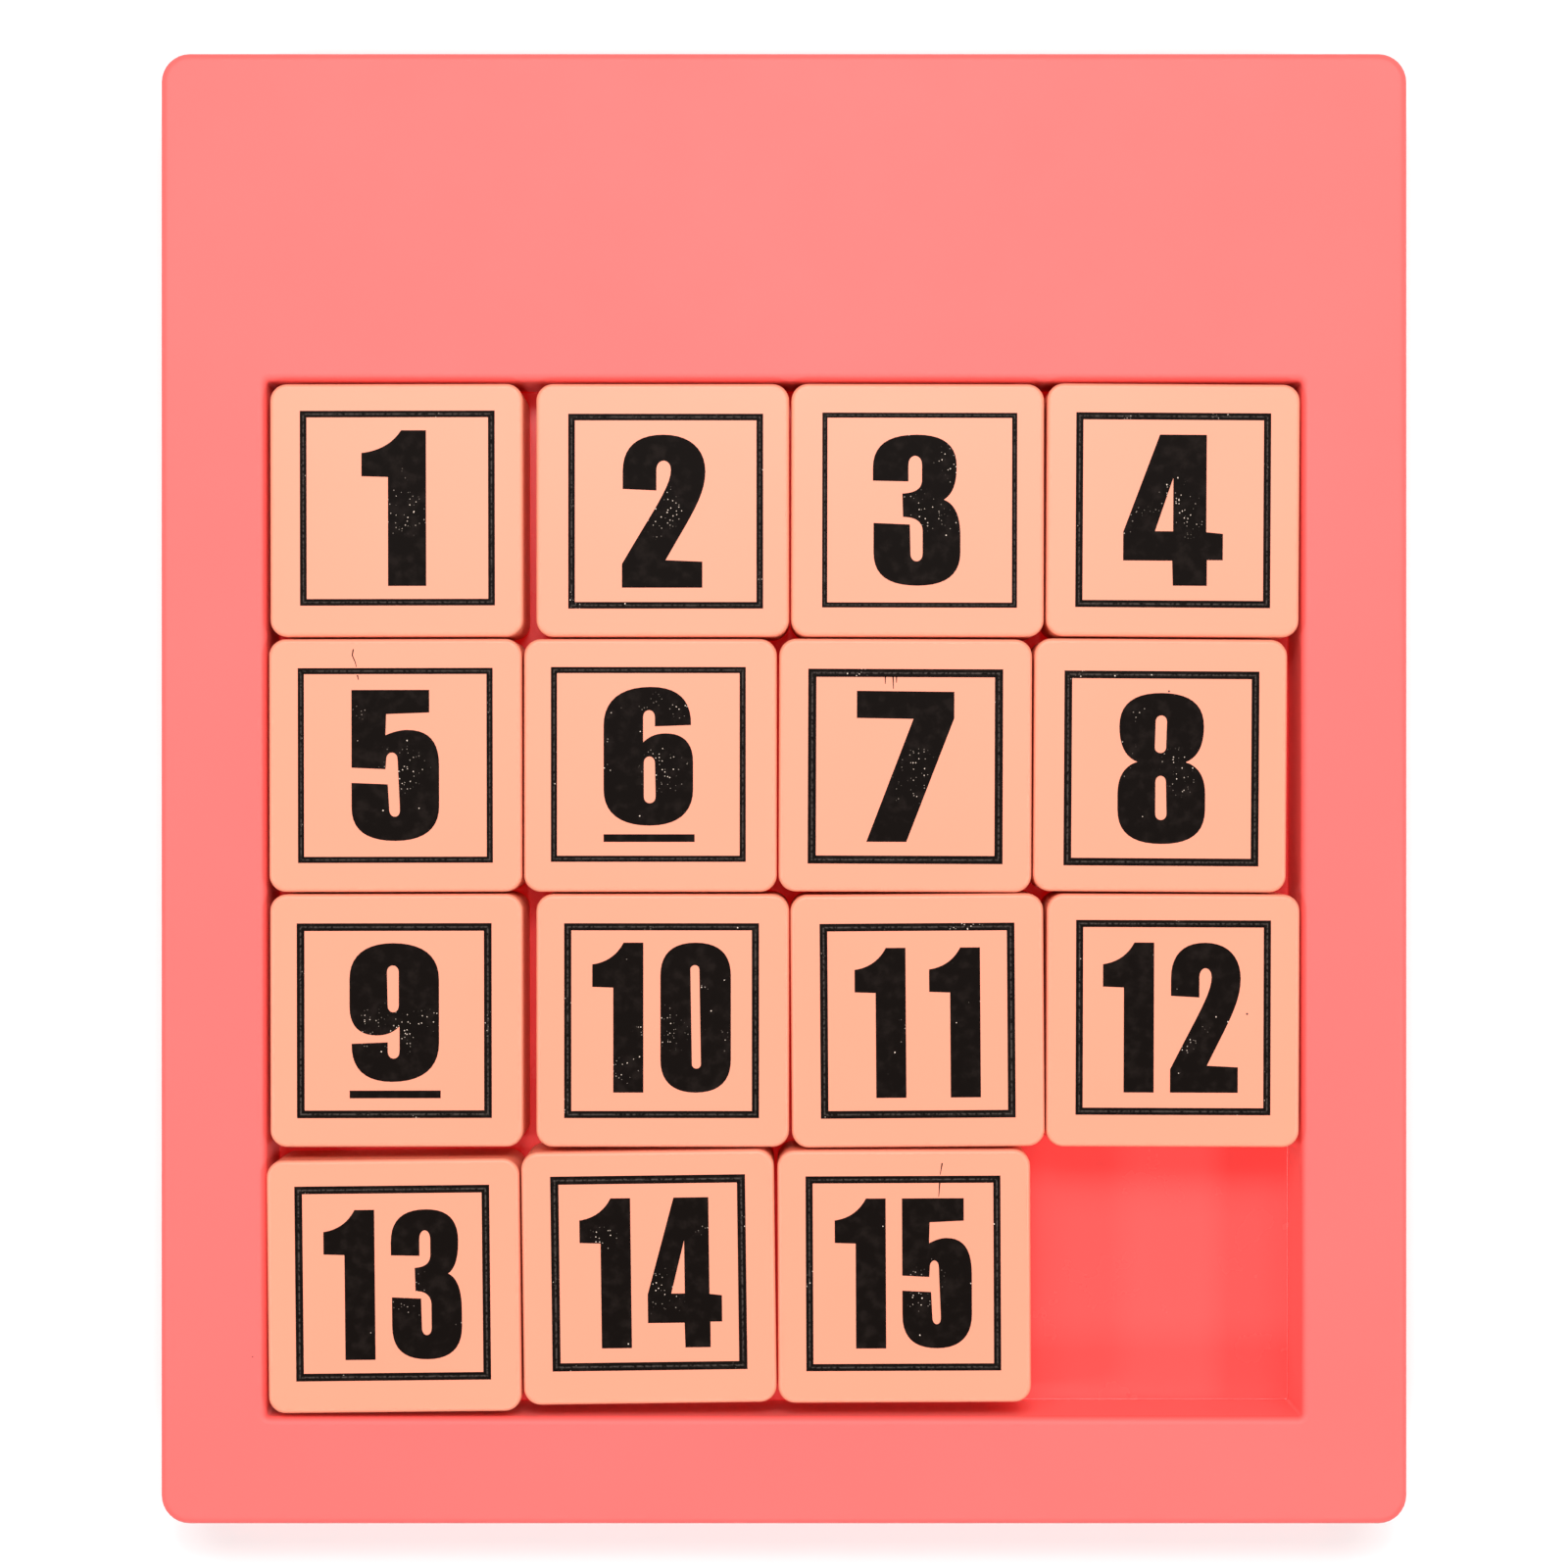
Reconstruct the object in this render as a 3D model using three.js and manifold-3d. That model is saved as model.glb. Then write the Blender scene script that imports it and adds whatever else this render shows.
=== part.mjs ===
// A fifteen puzzle with magnetic tiles, lying on its back, in millimetres.
//
// Fifteen numbered tiles stand in the square well of a moulded tray, one place short of full, and slide over
// its floor. Each tile is a hollow cap closed by a base plate, and a magnet glued into a pocket of the base
// plate pulls on a steel sheet under the well floor, so a tile stays where it is put and can still be lifted
// out. The tray is one hollow moulding, open underneath, and a screwed-on back cover closes it and holds the
// steel sheet up.
//
// +Z is up, out of the well. +Y runs towards the broad blank panel beyond the well. The origin is the middle
// of the underside. The numerals are printed, so they have no solid of their own here.

import * as THREE from "three";
import { mergeVertices } from "three/addons/utils/BufferGeometryUtils.js";
import Module from "manifold-3d";

// ---- driving dimensions ----

const PLACES = 4; // tiles along each side of the well
const WELL = { side: 101.8, depth: 9.4, lip: 0.8 };
const BORDER = 10.4; // width of the rim at both sides
const FOOT = 10.6; // width of the rim at the foot
const PANEL = 32.3; // width of the blank panel at the head
const TRAY = { height: 13.2, corner: 2.8, edge: 0.8, skin: 2, floor: 1.2, surround: 2 };
const COVER = { thickness: 1.5 };
const SHEET = { side: 103, thickness: 0.5, corner: 1 };
const TILE = { side: 24.8, height: 10, corner: 1.65, edge: 0.4, wall: 1.2, ledge: 0.8, roof: 1.8 };
const BASE = { thickness: 1.4, bossRadius: 5.6, bossHeight: 4.6 };
const MAGNET = { radius: 4, height: 3, chamfer: 0.2 };
const SCREW = { radius: 1, length: 8, headRadius: 2.1, headHeight: 1, recess: 0.5, recessLength: 2.4 };
const SCREW_INSET = 3.5; // from the tray's inside walls
const POST_RADIUS = 3.1; // of the posts that the screws bite into
const RIB = 1.2;
const FIT = 0.3; // gap between pieces that fit into or rest on each other

// How the tiles of each row stand at rest, from the head of the tray down. Each gap is at a tile's left, a turn
// is in degrees, and a drop is how far a tile has slipped towards the foot. The last place is empty.
const HEAD_GAP = 0.35; // between the well's head wall and the first row
const ROW_GAP = 0.22;
const ROWS = [
  { gaps: [0.5, 1.3, 0.2, 0.25], turns: [0.1, 0, -0.1, -0.35], drops: [0, 0, 0, 0] },
  { gaps: [0.4, 0.2, 0.2, 0.2], turns: [0.1, 0, -0.2, -0.35], drops: [0, 0, 0, 0] },
  { gaps: [0.5, 1.3, 0.2, 0.25], turns: [0.1, 0, 0.4, -0.2], drops: [0, 0, 0, 0] },
  { gaps: [0.25, 0.2, 0.25], turns: [0.6, 0.75, 0.25], drops: [1, 0.15, 0.05] },
];

// ---- derived places ----

const TRAY_WIDTH = WELL.side + 2 * BORDER;
const TRAY_LENGTH = WELL.side + FOOT + PANEL;
const WELL_Y = (FOOT - PANEL) / 2; // middle of the well
const FLOOR_Z = TRAY.height - WELL.depth; // top of the well floor
const INSIDE = { width: TRAY_WIDTH - 2 * TRAY.skin, length: TRAY_LENGTH - 2 * TRAY.skin };
const INSIDE_CORNER = TRAY.corner - TRAY.skin;
const COVER_ROOM_Z = COVER.thickness + FIT; // where the hollow over the cover begins
const SHEET_ROOM_Z = FLOOR_Z - TRAY.floor; // underside of the well floor
const HOLLOW_TOP = TRAY.height - TRAY.skin;
const SURROUND = WELL.side + 2 * TRAY.surround; // outside of the walls round the well
const SCREW_X = INSIDE.width / 2 - SCREW_INSET;
const SCREW_Y = INSIDE.length / 2 - SCREW_INSET;
const SCREW_HOLE = SCREW.radius + FIT; // its radius

const CORNER_STEPS = 3; // facets in a quarter turn of an outline
const EDGE_STEPS = 2; // facets in a rounded edge
const ROUND_SIDES = 20; // facets round a boss, magnet or screw
const PAST = 1; // how far a cutter runs past the face it opens

const PINK = new THREE.MeshStandardMaterial({ color: 0xfc8280, roughness: 0.45, metalness: 0 });
const PEACH = new THREE.MeshStandardMaterial({ color: 0xfbbe9c, roughness: 0.4, metalness: 0 });
const STEEL = new THREE.MeshStandardMaterial({ color: 0x9fa3a6, roughness: 0.4, metalness: 1 });
const NICKEL = new THREE.MeshStandardMaterial({ color: 0xc8c9c7, roughness: 0.2, metalness: 1 });

// ---- solids ----

const wasm = await Module();
wasm.setup();

/** A closed geometry as a solid that can be joined and cut. */
function solidOf(geometry) {
  const bare = new THREE.BufferGeometry().setAttribute("position", geometry.getAttribute("position"));
  const merged = mergeVertices(bare.setIndex(geometry.index), 1e-4);
  const vertProperties = merged.attributes.position.array;
  return new wasm.Manifold(new wasm.Mesh({ numProp: 3, vertProperties, triVerts: merged.index.array }));
}

/** A solid as a geometry with flat faces. */
function geometryOf(solid) {
  const { vertProperties, triVerts } = solid.getMesh();
  const indexed = new THREE.BufferGeometry().setIndex(new THREE.BufferAttribute(triVerts, 1));
  const flat = indexed.setAttribute("position", new THREE.BufferAttribute(vertProperties, 3)).toNonIndexed();
  flat.computeVertexNormals();
  return flat;
}

/** The corners of a rectangle round the origin, each rounded in steps. */
function rectangle(width, length, radius = 0, steps = CORNER_STEPS) {
  const points = [];
  for (let corner = 0; corner < 4; corner++) {
    const x = (width / 2 - radius) * (corner === 0 || corner === 3 ? 1 : -1);
    const y = (length / 2 - radius) * (corner < 2 ? 1 : -1);
    for (let step = 0; step <= (radius ? steps : 0); step++) {
      const angle = ((corner + step / steps) * Math.PI) / 2;
      points.push(new THREE.Vector2(x + radius * Math.cos(angle), y + radius * Math.sin(angle)));
    }
  }
  return points;
}

/** The closed body through a stack of outlines, each {outline, z}, from the lowest up. */
function loft(rings) {
  const count = rings[0].outline.length;
  const positions = rings.flatMap(({ outline, z }) => outline.flatMap((p) => [p.x, p.y, z]));
  const cap = THREE.ShapeUtils.triangulateShape(rings[0].outline, []);
  const top = (rings.length - 1) * count;
  const triangles = cap.flatMap(([a, b, c]) => [a, c, b, top + a, top + b, top + c]);
  for (let ring = 0; ring < rings.length - 1; ring++) {
    for (let i = 0; i < count; i++) {
      const low = ring * count + i;
      const next = ring * count + ((i + 1) % count);
      triangles.push(low, next, next + count, low, next + count, low + count);
    }
  }
  const geometry = new THREE.BufferGeometry();
  geometry.setAttribute("position", new THREE.Float32BufferAttribute(positions, 3));
  return geometry.setIndex(triangles);
}

/** A block with upright rounded corners, from z up to z + height. */
function block(width, length, height, z = 0, radius = 0) {
  const outline = rectangle(width, length, radius);
  return solidOf(loft([{ outline, z }, { outline, z: z + height }]));
}

/** The steps of a quarter round of this radius: how far in from the side, and how far below the top. */
function quarterRound(radius) {
  return Array.from({ length: EDGE_STEPS + 1 }, (_, step) => {
    const angle = ((step / EDGE_STEPS) * Math.PI) / 2;
    return { inward: radius * (1 - Math.cos(angle)), below: radius * (1 - Math.sin(angle)) };
  });
}

/** A block whose upright corners and top edge are rounded. */
function softBlock(width, length, height, corner, edge) {
  const rounding = quarterRound(edge).map(({ inward, below }) => ({
    outline: rectangle(width - 2 * inward, length - 2 * inward, corner - inward),
    z: height - below,
  }));
  return solidOf(loft([{ outline: rectangle(width, length, corner), z: 0 }, ...rounding]));
}

/** A body turned about the Z axis from a profile of [radius, z] pairs that starts and ends on the axis. */
function turned(profile) {
  const points = profile.map(([radius, z]) => new THREE.Vector2(radius, z));
  return solidOf(new THREE.LatheGeometry(points, ROUND_SIDES).rotateX(Math.PI / 2));
}

/** A plain upright cylinder, from z up to z + height. */
function rod(radius, height, z = 0) {
  const geometry = new THREE.CylinderGeometry(radius, radius, height, ROUND_SIDES);
  return solidOf(geometry.rotateX(Math.PI / 2).translate(0, 0, z + height / 2));
}

/** Where the cover's screws go. */
function screwPlaces() {
  return [-1, 1].flatMap((y) => [-1, 1].map((x) => [x * SCREW_X, y * SCREW_Y]));
}

// ---- pieces ----

/** What is cut out of the tray to leave the well, with a rounded lip. */
function wellCutter() {
  const outline = rectangle(WELL.side, WELL.side);
  const lip = quarterRound(WELL.lip).map(({ inward, below }) => ({
    outline: rectangle(WELL.side + 2 * inward, WELL.side + 2 * inward),
    z: TRAY.height - below,
  }));
  const above = { outline: lip.at(-1).outline, z: TRAY.height + PAST };
  return solidOf(loft([{ outline, z: FLOOR_Z }, ...lip, above])).translate([0, WELL_Y, 0]);
}

/** The hollow under the rim and the panel, round the well's walls, the ribs and the posts for the screws. */
function underCutter() {
  let hollow = block(INSIDE.width, INSIDE.length, HOLLOW_TOP - COVER_ROOM_Z, COVER_ROOM_Z, INSIDE_CORNER);
  hollow = hollow.subtract(block(SURROUND, SURROUND, TRAY.height).translate([0, WELL_Y, 0]));
  for (const place of [-1, 0, 1]) {
    const offset = (place * WELL.side) / PLACES;
    const lengthwise = block(RIB, PANEL, TRAY.height).translate([offset, (TRAY_LENGTH - PANEL) / 2, 0]);
    const crosswise = block(TRAY_WIDTH, RIB, TRAY.height).translate([0, WELL_Y + offset, 0]);
    hollow = hollow.subtract(lengthwise).subtract(crosswise);
  }
  for (const [x, y] of screwPlaces()) {
    hollow = hollow.subtract(rod(POST_RADIUS, TRAY.height).translate([x, y, 0]));
  }
  return hollow;
}

/** The moulded tray: rim, panel, well and its floor, hollow underneath. */
function tray() {
  const coverRoom = block(INSIDE.width, INSIDE.length, PAST + COVER_ROOM_Z, -PAST, INSIDE_CORNER);
  const sheetRoom = block(SHEET.side + 2 * FIT, SHEET.side + 2 * FIT, SHEET_ROOM_Z).translate([0, WELL_Y, 0]);
  let made = softBlock(TRAY_WIDTH, TRAY_LENGTH, TRAY.height, TRAY.corner, TRAY.edge);
  for (const cutter of [wellCutter(), underCutter(), coverRoom, sheetRoom]) made = made.subtract(cutter);
  for (const [x, y] of screwPlaces()) {
    made = made.subtract(rod(SCREW_HOLE, SCREW.length + FIT).translate([x, y, 0]));
  }
  return made;
}

/** The sheet of steel that the magnets pull on. */
function steelSheet() {
  const z = SHEET_ROOM_Z - FIT - SHEET.thickness;
  return block(SHEET.side, SHEET.side, SHEET.thickness, z, SHEET.corner).translate([0, WELL_Y, 0]);
}

/** The plate that closes the underside, countersunk for its screws. */
function backCover() {
  let made = block(INSIDE.width - 2 * FIT, INSIDE.length - 2 * FIT, COVER.thickness, 0, INSIDE_CORNER - FIT);
  const hole = turned([
    [0, -PAST],
    [SCREW.headRadius + FIT, -PAST],
    [SCREW.headRadius + FIT, FIT],
    [SCREW_HOLE, SCREW.headHeight + FIT],
    [SCREW_HOLE, COVER.thickness + PAST],
    [0, COVER.thickness + PAST],
  ]);
  for (const [x, y] of screwPlaces()) made = made.subtract(hole.translate([x, y, 0]));
  return made;
}

/** A countersunk self-tapping screw, head down, with a cross recess. */
function screw() {
  const body = turned([
    [0, FIT],
    [SCREW.headRadius, FIT],
    [SCREW.radius, SCREW.headHeight + FIT],
    [SCREW.radius, SCREW.length - 2 * SCREW.radius],
    [0, SCREW.length],
  ]);
  const lengthwise = block(SCREW.recess, SCREW.recessLength, SCREW.headHeight);
  const crosswise = block(SCREW.recessLength, SCREW.recess, SCREW.headHeight);
  return body.subtract(lengthwise).subtract(crosswise);
}

/** A tile's cap: the printed top and the four sides, with a ledge inside for the base plate. */
function tileCap() {
  const opening = TILE.side - 2 * TILE.wall;
  const room = opening - 2 * TILE.ledge;
  return softBlock(TILE.side, TILE.side, TILE.height, TILE.corner, TILE.edge)
    .subtract(block(opening, opening, PAST + BASE.thickness + FIT, -PAST))
    .subtract(block(room, room, TILE.height - TILE.roof));
}

/** A tile's base plate, with the boss whose pocket holds the magnet. */
function tileBase() {
  const side = TILE.side - 2 * (TILE.wall + FIT);
  const pocket = rod(MAGNET.radius + FIT, PAST + MAGNET.height + 2 * FIT, -PAST);
  return block(side, side, BASE.thickness).add(rod(BASE.bossRadius, BASE.bossHeight)).subtract(pocket);
}

/** A plated disc magnet with broken edges, a little inside the mouth of its pocket. */
function magnet() {
  const { radius, height, chamfer } = MAGNET;
  return turned([
    [0, FIT],
    [radius - chamfer, FIT],
    [radius, FIT + chamfer],
    [radius, FIT + height - chamfer],
    [radius - chamfer, FIT + height],
    [0, FIT + height],
  ]);
}

// ---- assembly ----

const puzzle = new THREE.Group();

/** Adds a piece to a group under its own name. */
function add(group, name, solid, material) {
  const mesh = new THREE.Mesh(geometryOf(solid), material);
  mesh.name = name;
  group.add(mesh);
}

add(puzzle, "tray", tray(), PINK);
add(puzzle, "steel_sheet", steelSheet(), STEEL);
add(puzzle, "back_cover", backCover(), PINK);
screwPlaces().forEach(([x, y], i) => {
  const place = new THREE.Group();
  place.position.set(x, y, 0);
  add(place, `cover_screw_${i + 1}`, screw(), STEEL);
  puzzle.add(place);
});

ROWS.forEach(({ gaps, turns, drops }, row) => {
  let left = -WELL.side / 2;
  gaps.forEach((gap, column) => {
    const x = left + gap + TILE.side / 2;
    const fromHead = HEAD_GAP + row * (TILE.side + ROW_GAP) + drops[column];
    const y = WELL_Y + WELL.side / 2 - fromHead - TILE.side / 2;
    left = x + TILE.side / 2;
    const tile = new THREE.Group();
    tile.position.set(x, y, FLOOR_Z + FIT);
    tile.rotation.z = THREE.MathUtils.degToRad(turns[column]);
    const name = `tile_${String(row * PLACES + column + 1).padStart(2, "0")}`;
    add(tile, `${name}_cap`, tileCap(), PEACH);
    add(tile, `${name}_base`, tileBase(), PEACH);
    add(tile, `${name}_magnet`, magnet(), NICKEL);
    puzzle.add(tile);
  });
});

export default puzzle;
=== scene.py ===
"""A fifteen puzzle with magnetic tiles: its moulded tray, and the caps, print, base plates and
magnets of its tiles.

Sizes are in metres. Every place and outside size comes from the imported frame. What is stated here is
the shape within it, the print on the tiles, the finishes and the studio.
"""

import math

import bmesh
import bpy
from mathutils import Matrix, Vector


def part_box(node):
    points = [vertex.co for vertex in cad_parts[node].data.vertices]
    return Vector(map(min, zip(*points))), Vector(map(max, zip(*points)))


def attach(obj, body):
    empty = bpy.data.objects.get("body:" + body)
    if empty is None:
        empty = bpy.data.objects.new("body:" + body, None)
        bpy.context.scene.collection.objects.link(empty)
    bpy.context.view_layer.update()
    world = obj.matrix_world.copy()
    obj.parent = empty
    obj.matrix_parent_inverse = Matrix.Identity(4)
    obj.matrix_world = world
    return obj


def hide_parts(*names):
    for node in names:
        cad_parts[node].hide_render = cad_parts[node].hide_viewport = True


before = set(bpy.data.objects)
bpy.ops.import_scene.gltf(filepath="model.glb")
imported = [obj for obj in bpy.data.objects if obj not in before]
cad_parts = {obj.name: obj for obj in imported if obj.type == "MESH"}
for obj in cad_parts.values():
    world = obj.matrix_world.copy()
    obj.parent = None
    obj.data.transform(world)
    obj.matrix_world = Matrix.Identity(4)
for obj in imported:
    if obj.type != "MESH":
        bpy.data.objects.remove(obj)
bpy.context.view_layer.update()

MM = 0.001
QUARTER_TURN = math.pi / 2

# ---- finer shape of the pieces ----

CORNER_STEPS = 8  # points in a quarter turn of an outline
EDGE_STEPS = 5  # points in a rounded edge
ROUND_SIDES = 48  # points round a magnet or a screw
CURVE_STEPS = 10  # points in a curved stretch of a numeral
HARD_ANGLE = math.radians(30)  # edges sharper than this stay crisp
DOUBLED = 1e-7  # points nearer to each other than this are joined
CUTTER_CORNER = 0.2 * MM  # of a plain cutting block

FIT = 0.3 * MM  # gap between pieces that fit into each other
TRAY_CORNER = 2.8 * MM
TRAY_SKIN = 2 * MM
TRAY_EDGE = 0.8 * MM
TRAY_FOOT_EDGE = 0.3 * MM
WELL_LIP = 0.8 * MM
WELL_CORNER = 0.3 * MM
WELL_FLOOR_EDGE = 0.15 * MM
WELL_WALL = 2 * MM
RIB = 1.2 * MM
POST_RADIUS = 3.1 * MM
PLACES = 4  # tiles along each side of the well
SHADED_FLOOR_FINISH = 1  # the place of the well floor's darker finish, painted shade, among the tray's finishes
LIT_WALL_FINISH = 2  # the place of the well walls' lighter finish, painted light
SHEET_OVERLAP = 0.6 * MM  # how far the steel sheet reaches past the well on each side
SHEET_CORNER = 1 * MM
SHEET_EDGE = 0.08 * MM
COVER_EDGE = 0.25 * MM
COVER_MIN_CORNER = 0.2 * MM
SINK_DEPTH = 1.3 * MM  # from the cover's underside to where the countersink meets the hole

SCREW_HOLE = 1.3 * MM  # radius
SCREW_CORE = 0.72 * MM
SCREW_CREST = 1 * MM
SCREW_NECK = 1.1 * MM  # from the head's face to the start of the thread
SCREW_POINT = 1.4 * MM
SCREW_RIM = 0.1 * MM  # bevel round the head's face
SCREW_MIDDLE = 0.05 * MM  # radius of the innermost ring of the head's face
SCREW_TIP = 0.025 * MM  # radius
THREAD_PITCH = 0.8 * MM
THREAD_ROWS = 8  # rings in one turn of the thread
THREAD_STEEPNESS = 2.5  # how fast the thread falls off to each side of its crest
RECESS_WIDTH = 0.5 * MM
RECESS_LENGTH = 2.4 * MM
RECESS_DEPTH = 0.9 * MM
RECESS_CORNER = 0.1 * MM
RECESS_TAPER = 0.6  # its size at the bottom, as a share of its size at the top

CAP_CORNER = 1.65 * MM
CAP_EDGE = 0.4 * MM
CAP_FOOT_EDGE = 0.15 * MM
CAP_WALL = 1.2 * MM
CAP_LEDGE = 0.8 * MM
CAP_ROOF = 1.8 * MM
CAP_INNER_CORNER = 0.45 * MM

BASE_THICKNESS = 1.4 * MM
BOSS_RADIUS = 5.6 * MM
BASE_EDGE = 0.15 * MM
POCKET_EDGE = 0.25 * MM
MAGNET_EDGE = 0.2 * MM

# ---- the print ----

BORDER_SIDE = 19.1 * MM
INK_THICKNESS = 0.03 * MM
INK_SUNK = 0.01 * MM  # how far the ink's underside is let into the cap
SINGLE_HEIGHT = 14.8 * MM
PAIR_HEIGHT = 14.7 * MM
HEIGHTS = {"1": 15.25 * MM, "2": 15 * MM, "6": 13.6 * MM, "9": 13.6 * MM}  # unlike the other numbers
UNDERLINED = ("6", "9")
UNDERLINE = {"gap": 0.85 * MM, "line": 0.75 * MM, "overhang": 0.15 * MM}
PAIR_GAP = 1.6 * MM  # between the two figures of a number
ONES_GAP = 2.3 * MM  # between the two figures of 11
# How wide a figure is in a pair, as a share of its usual width.
NARROW = {"0": 1, "1": 0.82, "2": 0.86, "3": 0.81, "4": 0.75, "5": 0.8}
ACROSS = "across"  # marks the points of a border line: 0 at its sides and 1 along its middle

# Each figure is drawn 100 high, from the left. A contour is a list of corners, and a corner with six
# numbers is reached by a curve: its first two pairs are the curve's handles.
FIGURE_HEIGHT = 100
CLOSED = 1e-6  # a contour is closed if its ends are nearer to each other than this
FIGURES = {
    "0": [
        [
            (24, 100),
            (40, 100, 47.5, 92, 47.5, 78),
            (47.5, 22),
            (47.5, 8, 40, 0, 24, 0),
            (8, 0, 0.5, 8, 0.5, 22),
            (0.5, 78),
            (0.5, 92, 8, 100, 24, 100),
        ],
        [
            (20.5, 82),
            (20.5, 86, 26.5, 86, 26.5, 82),
            (27.5, 19),
            (27.5, 15, 21.5, 15, 21.5, 19),
            (20.5, 82),
        ],
    ],
    "1": [
        [
            (25.5, 100),
            (41.5, 100),
            (41.5, 0),
            (17, 0),
            (17, 70),
            (0, 70.5),
            (0, 85.5),
            (9, 86.5, 19, 90, 25.5, 100),
        ]
    ],
    "2": [
        [
            (0.5, 64.5),
            (0.5, 76),
            (0.5, 92, 10, 100, 27, 100),
            (44, 100, 54.5, 91, 54.5, 76),
            (54.5, 60, 45, 47, 28.5, 18),
            (52.5, 17),
            (52.5, 0),
            (0, 0),
            (0, 15.5),
            (20, 50, 32, 66, 32, 77),
            (32, 85, 22.5, 85, 22.5, 77),
            (22.5, 63.5),
        ]
    ],
    "3": [
        [
            (0, 69.5),
            (0, 78),
            (0, 93, 10, 100, 29, 100),
            (47, 100, 55.5, 93, 55.5, 79),
            (55.5, 68, 53, 60.5, 47, 57),
            (55, 54, 58, 45, 58, 33),
            (58, 22),
            (58, 7, 48, 0, 29.5, 0),
            (10, 0, 0.5, 7, 0.5, 22),
            (0.5, 41.5),
            (24.5, 40.5),
            (25, 21),
            (25, 14.5, 33, 14.5, 33, 21),
            (33, 36),
            (33, 42.5, 28, 45.5, 20, 45.5),
            (19.5, 61),
            (28, 61.5, 32.5, 64, 32.5, 70),
            (32.5, 80),
            (32.5, 88, 23.5, 88, 23.5, 80),
            (23.5, 69),
        ]
    ],
    "4": [
        [
            (24, 100),
            (55, 100),
            (55, 35.5),
            (66, 34.5),
            (66, 17),
            (55.5, 17),
            (55.5, 0),
            (33, 0),
            (32.5, 16.5),
            (0, 16.5),
            (0, 35.5),
        ],
        [(33, 71.5), (33, 36), (21, 36)],
    ],
    "5": [
        [
            (0, 100),
            (51.5, 100),
            (51.5, 85),
            (23, 84),
            (22.5, 70),
            (27, 72, 32, 73.5, 37, 73.5),
            (51, 73.5, 58, 66, 58, 50),
            (58, 23),
            (58, 8, 48, 0, 29, 0),
            (10, 0, 0, 7, 0, 22),
            (0, 38.5),
            (24, 37.5),
            (25, 20),
            (25.5, 14.5, 32.5, 14.5, 32, 21),
            (30.5, 54),
            (30.5, 60, 23, 60, 23, 54),
            (22.5, 47.5),
            (0, 48.5),
        ]
    ],
    "6": [
        [
            (63, 72.5),
            (63.5, 90, 54, 100, 34, 100),
            (12, 100, 0, 90, 0, 72),
            (0, 26),
            (0, 9, 12, 0, 33, 0),
            (53, 0, 64.5, 9, 64.5, 26),
            (64.5, 46),
            (64.5, 60, 57, 66.5, 45, 66.5),
            (38, 66.5, 33, 64.5, 28.5, 60),
            (28.5, 78),
            (28.5, 85, 37, 85, 37, 78),
            (37, 71.5),
        ],
        [
            (29, 45),
            (29, 51.5, 37, 51.5, 37, 45),
            (37.5, 21),
            (37.5, 14.5, 29, 14.5, 29, 21),
            (29, 45),
        ],
    ],
    "7": [[(0, 100), (64.5, 99.5), (64.5, 82), (33, 0), (6.5, 0), (37.5, 81.5), (0, 82)]],
    "8": [
        [
            (29, 100),
            (47, 100, 57, 93, 57, 78),
            (57, 66, 53.5, 57.5, 45, 54.3),
            (54, 51.5, 58, 44, 58, 33),
            (58, 23),
            (58, 7, 48, 0, 29, 0),
            (10, 0, 0, 7, 0, 23),
            (0, 33),
            (0, 44, 4, 51.5, 13, 54.3),
            (4.5, 57.5, 1, 66, 1, 78),
            (1, 93, 11, 100, 29, 100),
        ],
        [
            (25, 81),
            (25, 86.5, 32.5, 86.5, 32.5, 81),
            (32, 64),
            (32, 59, 24.5, 59, 24.5, 64),
            (25, 81),
        ],
        [
            (25, 41),
            (25, 46.5, 32, 46.5, 32, 41),
            (32.5, 20),
            (32.5, 14.5, 25, 14.5, 25, 20),
            (25, 41),
        ],
    ],
}

# How each tile's border is printed, row by row, in mm: how far it is off the tile's middle, to the
# right and towards the head, and how wide its line is.
BORDERS = [
    [(0.1, 0.2, 0.65), (0.3, -0.1, 0.65), (0.2, 0, 0.5), (0, 0, 0.7)],
    [(0, 0, 0.6), (-0.2, 0.1, 0.6), (0, -0.1, 0.8), (0.1, -0.3, 0.75)],
    [(-0.2, 0, 0.75), (-0.1, 0, 0.7), (0, 0, 0.75), (0, 0.3, 0.7)],
    [(-0.1, 0.3, 0.75), (0, 0.45, 0.8), (-0.1, 0.3, 0.7)],
]
# How far a numeral is off the middle of its border, in mm, where it is.
NUMERAL_SHIFTS = {
    "01": (-0.35, 0),
    "02": (-0.2, 0),
    "03": (-0.3, 0),
    "10": (0, 0.3),
    "11": (0, -0.2),
    "12": (-0.15, 0),
    "13": (0, -0.15),
    "14": (0.2, 0),
}
# Stray hairs of ink, as strokes between points in mm from the middle of the border.
HAIRS = {
    "05": [[(-4.1, 11.4), (-4.2, 10.8), (-3.9, 10.1), (-3.8, 9.65)], [(-3.7, 8.85), (-3.6, 8.4)]],
    "07": [[(-2, 8.85), (-2, 8.1)], [(-1.25, 8.85), (-1.2, 7.6)], [(-0.9, 8.85), (-0.9, 8.2)]],
    "15": [[(3.85, 10.8), (3.65, 9.65)], [(3.6, 8.85), (3.5, 7.5)]],
}
HAIR_WIDTH = 0.13 * MM
HAIR_TAPER = 0.6  # how much of its width a hair loses towards its end

# ---- colours and surfaces ----

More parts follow.
